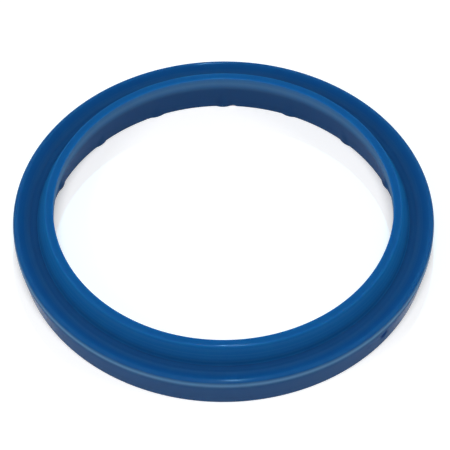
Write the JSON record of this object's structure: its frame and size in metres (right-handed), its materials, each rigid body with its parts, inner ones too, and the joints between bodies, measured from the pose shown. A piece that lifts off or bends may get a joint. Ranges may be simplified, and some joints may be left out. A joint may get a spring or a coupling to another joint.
{
  "type": "wiper seal",
  "caption": "Rod wiper seal: a moulded ring with a raised wiping lip inside, a shallow channel, an outer rim and low ribs in the bore of its heel.",
  "frame": {"origin": "centre of the heel's flat base, on the ring's axis", "axes": "+Z along the ring's axis, from the heel to the wiping lip"},
  "size_m": [0.085, 0.085, 0.0107],
  "materials": {
    "polyurethane": "satin blue moulded polyurethane"
  },
  "bodies": {
    "root": {"wiper_ring": "polyurethane"}
  },
  "joints": []
}
